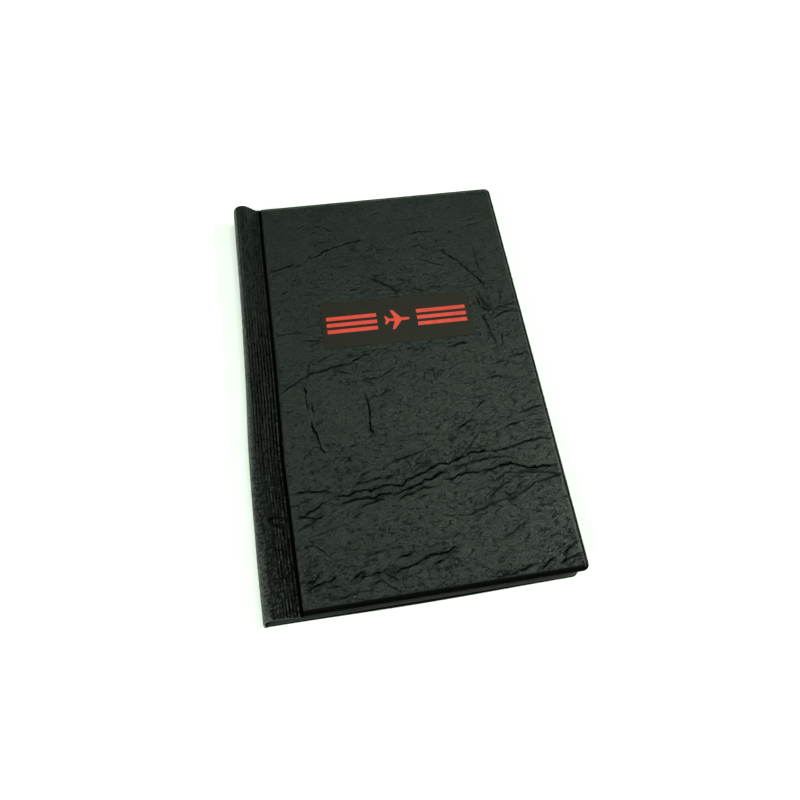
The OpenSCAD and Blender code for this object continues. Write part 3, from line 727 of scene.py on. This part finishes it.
def make_spine_layer(name, node, outset, inset):
    """A smooth layer under the spine's skin, between two depths."""
    base, _ = spine_base(np.linspace(-112, 112, 57))
    normal = grid_normals(base)
    middle = base[len(base) // 2]
    inside = (middle[:, 2] > HINGE[2] + 0.3) & (middle[:, 0] < LAYERS_END_X)
    base, normal = base[:, inside], normal[:, inside]
    outer, inner = base - normal * outset, base - normal * inset
    points, faces = closed_shell(outer, inner)
    piece = new_piece(name, points, faces)
    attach(piece, "ribbed_spine")
    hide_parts(node)
    return piece


# ---------------- leaves

FOLD_STEPS = [0, 0.2, 0.4, 0.6, 0.85, 1.1, 1.35, 1.6, 1.9, 2.2, 2.5, 2.8, 3.2, 3.7, 4.5]


def make_leaves(name, node, count, body, seed, turning):
    """A stack of separate leaves that fills its sheaf's space, with slightly uneven edges."""
    lo, hi = low(node), high(node)
    start = lo[0] - (0.6 if turning else 0)
    pitch = (hi[2] - lo[2]) / count
    thick = pitch * 0.72
    rng = np.random.default_rng(seed)
    all_points, faces, total = [], [], 0
    for index in range(count):
        fore = hi[0] - 0.45 + rng.uniform(-0.35, 0.35)
        tail, head = lo[1] + rng.uniform(0.05, 0.5), hi[1] - rng.uniform(0.05, 0.5)
        if turning:
            steps = start + np.array(FOLD_STEPS)
            columns = np.concatenate([steps, np.linspace(steps[-1], fore, 16)[1:]])
        else:
            columns = np.linspace(start, fore, 18)
        x, y = np.meshgrid(columns, np.linspace(tail, head, 14))
        z = np.full(x.shape, lo[2] + index * pitch)
        points, leaf_faces = closed_shell(np.stack([x, y, z + thick], 2), np.stack([x, y, z], 2))
        all_points.append(points)
        faces += [[i + total for i in face] for face in leaf_faces]
        total += len(points)
    piece = new_piece(name, np.concatenate(all_points), faces, smooth=False)
    if turning:
        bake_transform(piece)
    else:
        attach(piece, body)
    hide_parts(node)
    return piece


# ---------------- label

def on_label(points, turn):
    """Points about the label's middle, turned and moved to their place on the cover."""
    lo, hi = low("title_label"), high("title_label")
    middle = [(a + b) / 2 for a, b in zip(lo, hi)]
    c, s = math.cos(turn), math.sin(turn)
    out = np.array(points, float)
    out[:, 0] = middle[0] + points[:, 0] * c - points[:, 1] * s
    out[:, 1] = middle[1] + points[:, 0] * s + points[:, 1] * c
    return out


LABEL_TURN = math.radians(-1)
LABEL_W, LABEL_H = 81.0, 27.5
LABEL_R = 0.5


def make_label():
    """A thin film with small round corners and a softened edge."""
    fine = [0, 0.08, 0.2, 0.5, 1.0]
    x, y = np.meshgrid(*[axis_steps(-size / 2, size / 2, fine, 2.0) for size in (LABEL_W, LABEL_H)])
    inset = np.minimum(LABEL_W / 2 - np.abs(x), LABEL_H / 2 - np.abs(y))
    lift = 0.1 * quarter_round(inset / 0.2)
    curl = 0.06 * fade((np.hypot(x / LABEL_W * 2, y / LABEL_H * 2) - 1.1) / 0.3)
    px, py = round_corners(x, y, LABEL_W / 2, -LABEL_H / 2, LABEL_H / 2, LABEL_R)
    px, py = round_corners(-px, py, LABEL_W / 2, -LABEL_H / 2, LABEL_H / 2, LABEL_R)
    base_z = FRONT_TOP - 0.02
    outer = np.stack([-px, py, base_z + 0.05 + lift + curl], 2)
    inner = np.stack([-px, py, np.full(x.shape, base_z - 0.1)], 2)
    points, faces = closed_shell(outer, inner)
    piece = new_piece("title_label_film", on_label(points, LABEL_TURN), faces, rest=points)
    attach(piece, "front_cover")
    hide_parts("title_label")
    return piece


# Half of the aeroplane's outline, from its nose to its tail
HALF_PLANE = [
    (6.9, 0), (6.6, 0.5), (6.0, 0.75), (2.2, 0.95), (-1.8, 5.9), (-3.2, 5.9),
    (-1.4, 0.95), (-4.4, 0.75), (-5.8, 2.5), (-6.9, 2.5), (-6.1, 0),
]


BAR_W, BAR_H, BAR_PITCH = 27, 2.2, 3.9
BAR_FROM = 10.9


def motif_outlines():
    """Anticlockwise outlines about the label's middle: the aeroplane, then three bars on either side."""
    outlines = [HALF_PLANE + [(a, -b) for a, b in reversed(HALF_PLANE[1:-1])]]
    corners = ((-1, -1), (1, -1), (1, 1), (-1, 1))
    for side in (-1, 1):
        for row in (-1, 0, 1):
            cx, cy = side * (BAR_W / 2 + BAR_FROM), row * BAR_PITCH
            outlines.append([(cx + a * BAR_W / 2, cy + b * BAR_H / 2) for a, b in corners])
    return outlines


def make_motif():
    """The red print, slightly raised and with a softened edge."""
    top = FRONT_TOP + 0.17
    points, faces, total = [], [], 0
    for outline in motif_outlines():
        flat = np.array(outline, float)
        n = len(flat)
        for inset, z in ((0, top - 0.08), (0, top - 0.02), (0.04, top)):
            ring = flat + np.sign(flat.mean(axis=0) - flat) * inset
            points.append(np.column_stack([ring, np.full(n, z)]))
        for level in (0, n):
            for i in range(n):
                here, following = total + level + i, total + level + (i + 1) % n
                faces.append([here, following, following + n, here + n])
        faces.append([total + 2 * n + i for i in range(n)])
        faces.append([total + i for i in reversed(range(n))])
        total += 3 * n
    points = np.concatenate(points)
    piece = new_piece("label_motif_print", on_label(points, LABEL_TURN), faces, rest=points, smooth=False)
    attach(piece, "front_cover")
    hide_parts("label_motif")
    return piece


# ---------------- materials

class Nodes:
    """Small helper that adds and joins shader nodes."""

    def __init__(self, name):
        self.material = bpy.data.materials.new(name)
        self.material.use_nodes = True
        self.tree = self.material.node_tree
        self.surface = self.tree.nodes["Principled BSDF"]

    def feed(self, socket, value):
        """Joins another node's output to a socket, or sets the socket's own value."""
        if isinstance(value, bpy.types.NodeSocket):
            self.tree.links.new(value, socket)
        else:
            socket.default_value = value

    def add(self, kind, inputs=None, **settings):
        node = self.tree.nodes.new("ShaderNode" + kind)
        for key, value in settings.items():
            setattr(node, key, value)
        for key, value in (inputs or {}).items():
            self.feed(node.inputs[key], value)
        return node

    def set(self, **values):
        for key, value in values.items():
            self.feed(self.surface.inputs[key.replace("_", " ")], value)

    def math(self, operation, a, b=0.0, c=0.0):
        return self.add("Math", {0: a, 1: b, 2: c}, operation=operation).outputs[0]

    def mix(self, share, a, b):
        a, b = [c if isinstance(c, bpy.types.NodeSocket) else (*c, 1) for c in (a, b)]
        return self.add("Mix", {"Factor": share, 6: a, 7: b}, data_type="RGBA").outputs[2]

    def place(self, attribute="grain_at"):
        """Millimetres on the piece's own surface."""
        return self.add("Attribute", attribute_name=attribute).outputs["Vector"]

    def object_mm(self):
        at = self.add("TexCoord").outputs["Object"]
        return self.add("VectorMath", {0: at, "Scale": 1000.0}, operation="SCALE").outputs[0]

    def noise(self, at, scale, detail=2.0, rough=0.5):
        inputs = {"Vector": at, "Scale": scale, "Detail": detail, "Roughness": rough}
        return self.add("TexNoise", inputs).outputs[0]

    def cells(self, at, scale, low_at, high_at):
        """0 on the borders of random cells, rising to 1 inside them."""
        inputs = {"Vector": at, "Scale": scale, "Randomness": 1.0}
        edge = self.add("TexVoronoi", inputs, feature="DISTANCE_TO_EDGE").outputs["Distance"]
        return self.ramp(edge, low_at, high_at)

    def smooth(self, value, low_at, high_at):
        """0 at low_at and 1 at high_at, with an S-shaped rise between."""
        inputs = {0: value, 1: low_at, 2: high_at, 3: 0.0, 4: 1.0}
        return self.add("MapRange", inputs, interpolation_type="SMOOTHSTEP").outputs[0]

    def contour(self, at, width, share):
        """1 along the middle contour of a noise, which makes wandering lines, thinner where share is low."""
        value = self.noise(at, 1.0, 1.0, 0.4)
        distance = self.math("ABSOLUTE", self.math("SUBTRACT", value, 0.5))
        distance = self.math("DIVIDE", distance, self.math("MAXIMUM", share, 0.05))
        return self.smooth(distance, width, width * 0.3)

    def stretch(self, at, scale):
        return self.add("Mapping", {"Vector": at, "Scale": scale}).outputs[0]

    def ramp(self, value, low_at, high_at, low_to=0.0, high_to=1.0):
        inputs = {0: value, 1: low_at, 2: high_at, 3: low_to, 4: high_to}
        return self.add("MapRange", inputs).outputs[0]

    def bump(self, height, distance_mm, strength=1.0):
        inputs = {"Height": height, "Distance": distance_mm * MM, "Strength": strength}
        return self.add("Bump", inputs).outputs[0]

    def times(self, a, b):
        return self.math("MULTIPLY", a, b)

    def most(self, *values):
        """The greatest of a few values."""
        greatest = values[0]
        for value in values[1:]:
            greatest = self.math("MAXIMUM", greatest, value)
        return greatest

    def weighted(self, *parts):
        """The sum of a few values, each after its weight."""
        weight, value = parts[0]
        total = self.times(value, weight)
        for weight, value in parts[1:]:
            total = self.math("MULTIPLY_ADD", value, weight, total)
        return total

    def push(self, by, reach, at):
        """A place pushed by a colour times its reach along x and y."""
        inputs = {0: by, 1: (reach, reach, 0.0), 2: at}
        return self.add("VectorMath", inputs, operation="MULTIPLY_ADD").outputs[0]


LEATHER_SHINE = 0.37


def leather(name, dark, light, dash, lines_at, threads_at, dashes_at):
    """Embossed vinyl: pebbled grain, fine crinkles and deep creases, with painted shade darkening every
    valley, which is also duller.

    dash is how deep the smallest crinkles are, and so how much painted shade they carry, and how much
    commoner they get where the leather is more crinkled. lines_at, threads_at and dashes_at are how often
    the long, short and smallest crinkles repeat, per mm along x and y.
    """
    n = Nodes(name)
    at = n.place()
    valley = n.add("Attribute", attribute_name="valley").outputs["Fac"]
    to_crease, strength, crinkled = n.add("SeparateXYZ", {0: n.place("cut")}).outputs
    tilted = n.add("Mapping", {"Vector": at, "Rotation": (0.0, 0.0, -0.2)}).outputs[0]
    slow = n.add("TexNoise", {"Vector": at, "Scale": 0.13, "Detail": 2.0}).outputs["Color"]
    quick = n.add("TexNoise", {"Vector": at, "Scale": 0.6}).outputs["Color"]
    near = n.push(quick, 1.1, tilted)
    warped = n.push(quick, 1.1, n.push(slow, 6.0, tilted))

    wobble = n.math("MULTIPLY_ADD", n.noise(at, 0.8, 3.0, 0.6), 1.3, -0.65)
    distance = n.math("ABSOLUTE", n.math("ADD", to_crease, wobble))
    crease = n.times(n.smooth(distance, 0.58, 0.2), n.times(strength, 1.35))
    crease = n.math("MINIMUM", crease, 1.0)
    lip = n.times(n.times(n.smooth(distance, 0.5, 0.9), n.smooth(distance, 1.5, 0.9)), strength)

    blot = n.noise(at, 0.16, 3.0, 0.6)
    here = n.math("MINIMUM", n.times(crinkled, n.ramp(blot, 0.36, 0.62, 0.35, 1.0)), 1.0)
    broken = n.times(here, n.ramp(n.noise(near, 0.4, 1.0), 0.43, 0.56, 0.15, 1.0))
    lines = n.contour(n.stretch(warped, (*lines_at, 1.0)), 0.055, broken)
    threads = n.contour(n.stretch(warped, (*threads_at, 1.0)), 0.07, broken)
    cracks = n.times(n.most(lines, threads), 0.72)

    dashes = n.noise(n.stretch(near, (*dashes_at, 1.0)), 1.0, 1.0)
    dashes = n.math("MULTIPLY_ADD", n.math("MINIMUM", crinkled, 1.2), -dash[1], dashes)
    dashes = n.times(n.smooth(dashes, 0.39, 0.31), dash[0])
    pit = n.times(n.math("SUBTRACT", 1.0, n.cells(near, 0.75, 0.03, 0.25)), 0.3)
    small = n.most(pit, dashes)
    fine = n.cells(warped, 2.0, 0.0, 0.25)
    speck = n.noise(at, 1.1, 3.0, 0.7)
    height = n.weighted(
        (-1.3, crease), (0.3, lip), (-0.7, cracks), (-0.45, small), (0.08, fine), (0.2, speck)
    )

    # painted shade: the colour is darkened towards near-black in valleys, creases, cracks and pits, and the
    # shine is cut there
    shaded_low_places = n.math("MINIMUM", n.most(valley, crease, cracks, n.times(small, 0.9)), 1.0)
    colour = n.mix(n.ramp(n.noise(at, 0.05, 3.0), 0.3, 0.7), dark, light)
    colour = n.mix(n.times(shaded_low_places, 0.95), colour, tuple(c * 0.08 for c in dark))
    shine = n.math("SUBTRACT", 1.0, n.times(shaded_low_places, 0.97))
    shine = n.times(shine, n.ramp(speck, 0.3, 0.7, 0.7, 1.4))
    rough = n.ramp(n.noise(at, 0.35, 4.0, 0.6), 0.3, 0.7, 0.3, 0.4)
    rough = n.math("MULTIPLY_ADD", shaded_low_places, 0.18, rough)
    n.set(Base_Color=colour, Roughness=rough, Normal=n.bump(height, 0.4))
    n.set(Specular_IOR_Level=n.times(shine, LEATHER_SHINE))
    return n.material


def lining_vinyl():
    """Smooth inner vinyl with a faint fine grain."""
    n = Nodes("lining_vinyl")
    at = n.place()
    grain = n.add("TexVoronoi", {"Vector": at, "Scale": 1.6}, feature="SMOOTH_F1").outputs["Distance"]
    cloud = n.noise(at, 0.09, 4.0, 0.6)
    scuff = n.noise(n.stretch(at, (0.3, 2.0, 1.0)), 0.8, 4.0, 0.7)
    colour = n.mix(n.ramp(cloud, 0.3, 0.7), (0.008, 0.0098, 0.0085), (0.014, 0.0165, 0.0148))
    colour = n.mix(n.ramp(scuff, 0.62, 0.75, 0.0, 0.3), colour, (0.04, 0.043, 0.04))
    n.set(
        Base_Color=colour, Roughness=n.ramp(cloud, 0.3, 0.7, 0.42, 0.58), Normal=n.bump(grain, 0.05, 0.6)
    )
    return n.material


def board():
    """Grey-brown bookbinder's board with flecks of fibre."""
    n = Nodes("bookbinders_board")
    at = n.object_mm()
    fibre = n.noise(n.stretch(at, (0.4, 1.2, 1.0)), 1.1, 5.0, 0.7)
    fleck = n.noise(at, 3.2, 2.0)
    colour = n.mix(n.ramp(fibre, 0.35, 0.65), (0.26, 0.22, 0.17), (0.40, 0.35, 0.27))
    colour = n.mix(n.ramp(fleck, 0.66, 0.72), colour, (0.12, 0.1, 0.08))
    n.set(Base_Color=colour, Roughness=n.ramp(fibre, 0.3, 0.7, 0.8, 0.95), Normal=n.bump(fibre, 0.08))
    return n.material


def metal(name, colour, worn, rough_low, rough_high, brushed):
    """Plated or turned metal, brushed along its length or round its axis."""
    n = Nodes(name)
    at = n.object_mm()
    streak = n.noise(n.stretch(at, brushed), 3.0, 4.0, 0.6)
    blot = n.noise(at, 0.25, 3.0)
    tint = n.mix(n.ramp(blot, 0.4, 0.75), colour, worn)
    n.set(
        Base_Color=tint, Metallic=1.0, Roughness=n.ramp(streak, 0.3, 0.7, rough_low, rough_high),
        Normal=n.bump(streak, 0.02, 0.5),
    )
    return n.material


RULE_WIDTH = 0.16
COLUMN_HALF_WIDTH = 0.09


def ruled_paper(name, row_pitch, columns, ink, ruled_area):
    """Ledger paper: faint fibres and printed rules. Columns are x places in the frame, in millimetres."""
    n = Nodes(name)
    at = n.place()
    x, y = n.add("SeparateXYZ", {0: at}).outputs[:2]
    fibre = n.noise(at, 1.3, 5.0, 0.7)
    cloud = n.noise(at, 0.03, 2.0)
    colour = n.mix(n.ramp(cloud, 0.3, 0.7), (0.58, 0.56, 0.48), (0.63, 0.61, 0.54))
    colour = n.mix(n.ramp(fibre, 0.3, 0.8, 0.0, 0.15), colour, (0.44, 0.41, 0.33))
    row = n.math("FRACT", n.math("DIVIDE", n.math("ADD", y, 500.0), row_pitch))
    line = n.math("LESS_THAN", row, RULE_WIDTH / row_pitch)
    line = n.most(line, *[n.math("COMPARE", x, float(place), COLUMN_HALF_WIDTH) for place in columns])
    x0, y0, x1, y1 = ruled_area
    inside_x = n.times(n.math("GREATER_THAN", x, x0), n.math("LESS_THAN", x, x1))
    inside_y = n.times(n.math("GREATER_THAN", y, y0), n.math("LESS_THAN", y, y1))
    line = n.times(line, n.times(inside_x, inside_y))
    n.set(
        Base_Color=n.mix(n.times(line, 0.75), colour, ink),
        Roughness=n.ramp(fibre, 0.3, 0.7, 0.78, 0.92), Normal=n.bump(fibre, 0.02, 0.6),
    )
    return n.material


def label_film():
    """Thin satin film, faintly mottled and slightly dusty."""
    n = Nodes("label_film")
    at = n.place()
    mottle = n.noise(at, 0.12, 3.0, 0.6)
    dust = n.noise(at, 4.5, 2.0, 0.6)
    colour = n.mix(n.ramp(mottle, 0.35, 0.65), (0.0086, 0.0074, 0.0045), (0.0108, 0.0094, 0.006))
    colour = n.mix(n.ramp(dust, 0.72, 0.8, 0.0, 0.3), colour, (0.03, 0.028, 0.024))
    n.set(
        Base_Color=colour, Roughness=n.ramp(mottle, 0.3, 0.7, 0.48, 0.56), Specular_IOR_Level=0.16,
        Normal=n.bump(n.noise(at, 1.4, 3.0), 0.015, 0.5),
    )
    return n.material


def red_print():
    """Screen-printed red ink with a faint orange-peel."""
    n = Nodes("red_print")
    at = n.place()
    peel = n.noise(at, 3.0, 3.0, 0.6)
    colour = n.mix(n.ramp(n.noise(at, 0.3, 3.0), 0.35, 0.65), (0.42, 0.031, 0.018), (0.5, 0.041, 0.026))
    n.set(
        Base_Color=colour, Roughness=n.ramp(peel, 0.3, 0.7, 0.4, 0.55), Specular_IOR_Level=0.25,
        Normal=n.bump(peel, 0.01, 0.5),
    )
    return n.material


def dress(piece, material):
    """Gives a piece its only material."""
    piece.data.materials.clear()
    piece.data.materials.append(material)


def dress_node(name, material):
    """Gives a CAD node's mesh its material, and leaves its shape alone."""
    obj = frame["nodes"][name]
    for index in range(max(1, len(obj.material_slots))):
        if obj.material_slots:
            obj.material_slots[index].material = material
        else:
            obj.data.materials.append(material)


# ---------------- camera, floor and light

CAMERA_AT = (-42.4, -155.3, 345.3)
CAMERA_ANGLES = (23.57, -3.55, -9.52)
LENS, SENSOR = 32.0, 36.0

SKY_COLOUR, SKY_LEVEL = (0.91, 1.0, 0.9), 0.2
LIGHT_COLOUR = (0.91, 1.04, 0.9)

# Each soft light: its place in metres, its size and how brightly it alone lights the floor
LIGHTS = [
    ("key", (0.19, 0.28, 0.85), 0.3, 0.25),
    ("left", (-1.1, -0.6, 0.75), 0.6, 0.66),
    ("right", (1.1, -0.1, 0.85), 0.6, 0.64),
]
FLOOR_REACH = 3.0


def make_camera():
    data = bpy.data.cameras.new("camera")
    data.lens, data.sensor_width = LENS, SENSOR
    data.clip_start, data.clip_end = 0.01, 20
    camera = bpy.data.objects.new("camera", data)
    bpy.context.collection.objects.link(camera)
    camera.location = Vector(CAMERA_AT) * MM
    camera.rotation_euler = [math.radians(angle) for angle in CAMERA_ANGLES]
    bpy.context.scene.camera = camera


def make_floor():
    mesh = bpy.data.meshes.new("floor")
    corners = [(x * FLOOR_REACH, y * FLOOR_REACH, 0) for x, y in ((-1, -1), (1, -1), (1, 1), (-1, 1))]
    mesh.from_pydata(corners, [], [(0, 1, 2, 3)])
    floor = bpy.data.objects.new("floor", mesh)
    bpy.context.collection.objects.link(floor)
    n = Nodes("floor")
    n.set(Base_Color=(0.95, 0.95, 0.95, 1), Roughness=0.8)
    mesh.materials.append(n.material)


def make_light():
    world = bpy.data.worlds.new("world")
    bpy.context.scene.world = world
    world.use_nodes = True
    colour, strength = world.node_tree.nodes["Background"].inputs[:2]
    colour.default_value, strength.default_value = (*SKY_COLOUR, 1), SKY_LEVEL
    for name, place, size, level in LIGHTS:
        data = bpy.data.lights.new(name, "AREA")
        data.shape, data.size, data.color = "DISK", size, LIGHT_COLOUR
        data.energy = level * math.pi**2 * math.dist(place, (0, 0, 0)) ** 3 / place[2]
        light = bpy.data.objects.new(name, data)
        bpy.context.collection.objects.link(light)
        light.location = place
        light.rotation_euler = (-Vector(place)).to_track_quat("-Z", "Y").to_euler()
    bpy.context.scene.view_settings.view_transform = "Standard"


# ---------------- build

make_camera()
make_floor()
make_light()

cover_leather = leather(
    "cover_leather", (0.0039, 0.0068, 0.0043), (0.0056, 0.0094, 0.006),
    dash=(0.38, 0.07), lines_at=(0.11, 0.36), threads_at=(0.25, 0.7), dashes_at=(0.7, 1.2),
)
spine_leather = leather(
    "spine_leather", (0.0026, 0.0052, 0.0029), (0.0046, 0.0082, 0.0051),
    dash=(0.92, 0.1), lines_at=(0.2, 0.5), threads_at=(0.3, 0.8), dashes_at=(0.42, 0.92),
)
inner_vinyl = lining_vinyl()
board_material = board()
steel = metal("plated_steel", (0.56, 0.56, 0.55), (0.4, 0.39, 0.37), 0.24, 0.42, (3.0, 0.08, 1.0))
brass = metal("turned_brass", (0.74, 0.57, 0.28), (0.5, 0.36, 0.16), 0.2, 0.36, (1.0, 1.0, 1.0))
film = label_film()
red = red_print()

leaf_low, leaf_high = low("title_leaf"), high("title_leaf")
left_rule, right_rule = leaf_low[0] + 4, leaf_high[0] - 6
ruled_area = (left_rule - 0.2, leaf_low[1] + 9, right_rule + 0.2, leaf_high[1] - 16)
record_columns = [left_rule + across for across in (0, 16, 30, 46, 58, 70, 78, 86, 94, 102, 112)]
record_paper = ruled_paper("record_paper", 6.4, record_columns, (0.16, 0.36, 0.34), ruled_area)
details_columns = [left_rule, left_rule + 38, right_rule]
details_paper = ruled_paper("details_paper", 12.8, details_columns, (0.2, 0.24, 0.42), ruled_area)

dress(make_front_cover_skin(), cover_leather)
dress(make_back_cover_skin(), cover_leather)
dress(make_spine_skin(), spine_leather)
dress(make_spine_layer("spine_stiffener_sheet", "spine_stiffener", 0.9, 2.0), board_material)
dress(make_spine_layer("spine_lining_sheet", "spine_lining", 2.05, 2.4), inner_vinyl)
dress(make_lining(
    "front_lining_sheet", "front_lining", "front_cover", lambda y: crease_x(y) + 1.1,
    FORE_X - 0.35, FRONT_TAIL + 0.35, FRONT_HEAD - 0.35, FRONT_LOW, FRONT_LOW + 0.42, False,
), inner_vinyl)
dress(make_lining(
    "back_lining_sheet", "back_lining", "back_cover", lambda y: flank_x(y) + 1.0,
    BACK_FORE_X - 0.4, BACK_TAIL + 0.5, BACK_HEAD - 0.4, BACK_TOP - 0.42, BACK_TOP, True,
), inner_vinyl)

# Each sheaf's piece, its CAD node, its number of leaves, its body, its seed, whether it turns and its paper
LEAVES = [
    ("title_leaf_sheet", "title_leaf", 1, "title_sheaf", 11, True, details_paper),
    ("holder_leaf_sheets", "holder_leaf", 2, "title_sheaf", 12, True, details_paper),
    ("ratings_leaf_sheets", "ratings_leaves", 5, "title_sheaf", 13, True, details_paper),
    ("front_record_sheets", "front_record_leaves", 11, "record_sheaf", 14, True, record_paper),
    ("rear_record_sheets", "rear_record_leaves", 9, "back_cover", 15, False, record_paper),
    ("summary_sheets", "summary_leaves", 3, "back_cover", 16, False, details_paper),
    ("endorsement_sheets", "endorsement_leaves", 3, "back_cover", 17, False, details_paper),
]
for name, node, count, body, seed, turning, paper in LEAVES:
    dress(make_leaves(name, node, count, body, seed, turning), paper)

dress(make_label(), film)
dress(make_motif(), red)

dress(make_board("front_board_sheet", "front_board", "front_cover", 0.35), board_material)
dress(make_board("back_board_sheet", "back_board", "back_cover", 0.0), board_material)
for name in ("lower_binding_bar", "upper_binding_bar"):
    dress_node(name, steel)
for name in ("post_barrels", "post_screws"):
    dress_node(name, brass)
for name in ("front_record_margins", "title_margins"):
    dress_node(name, record_paper)
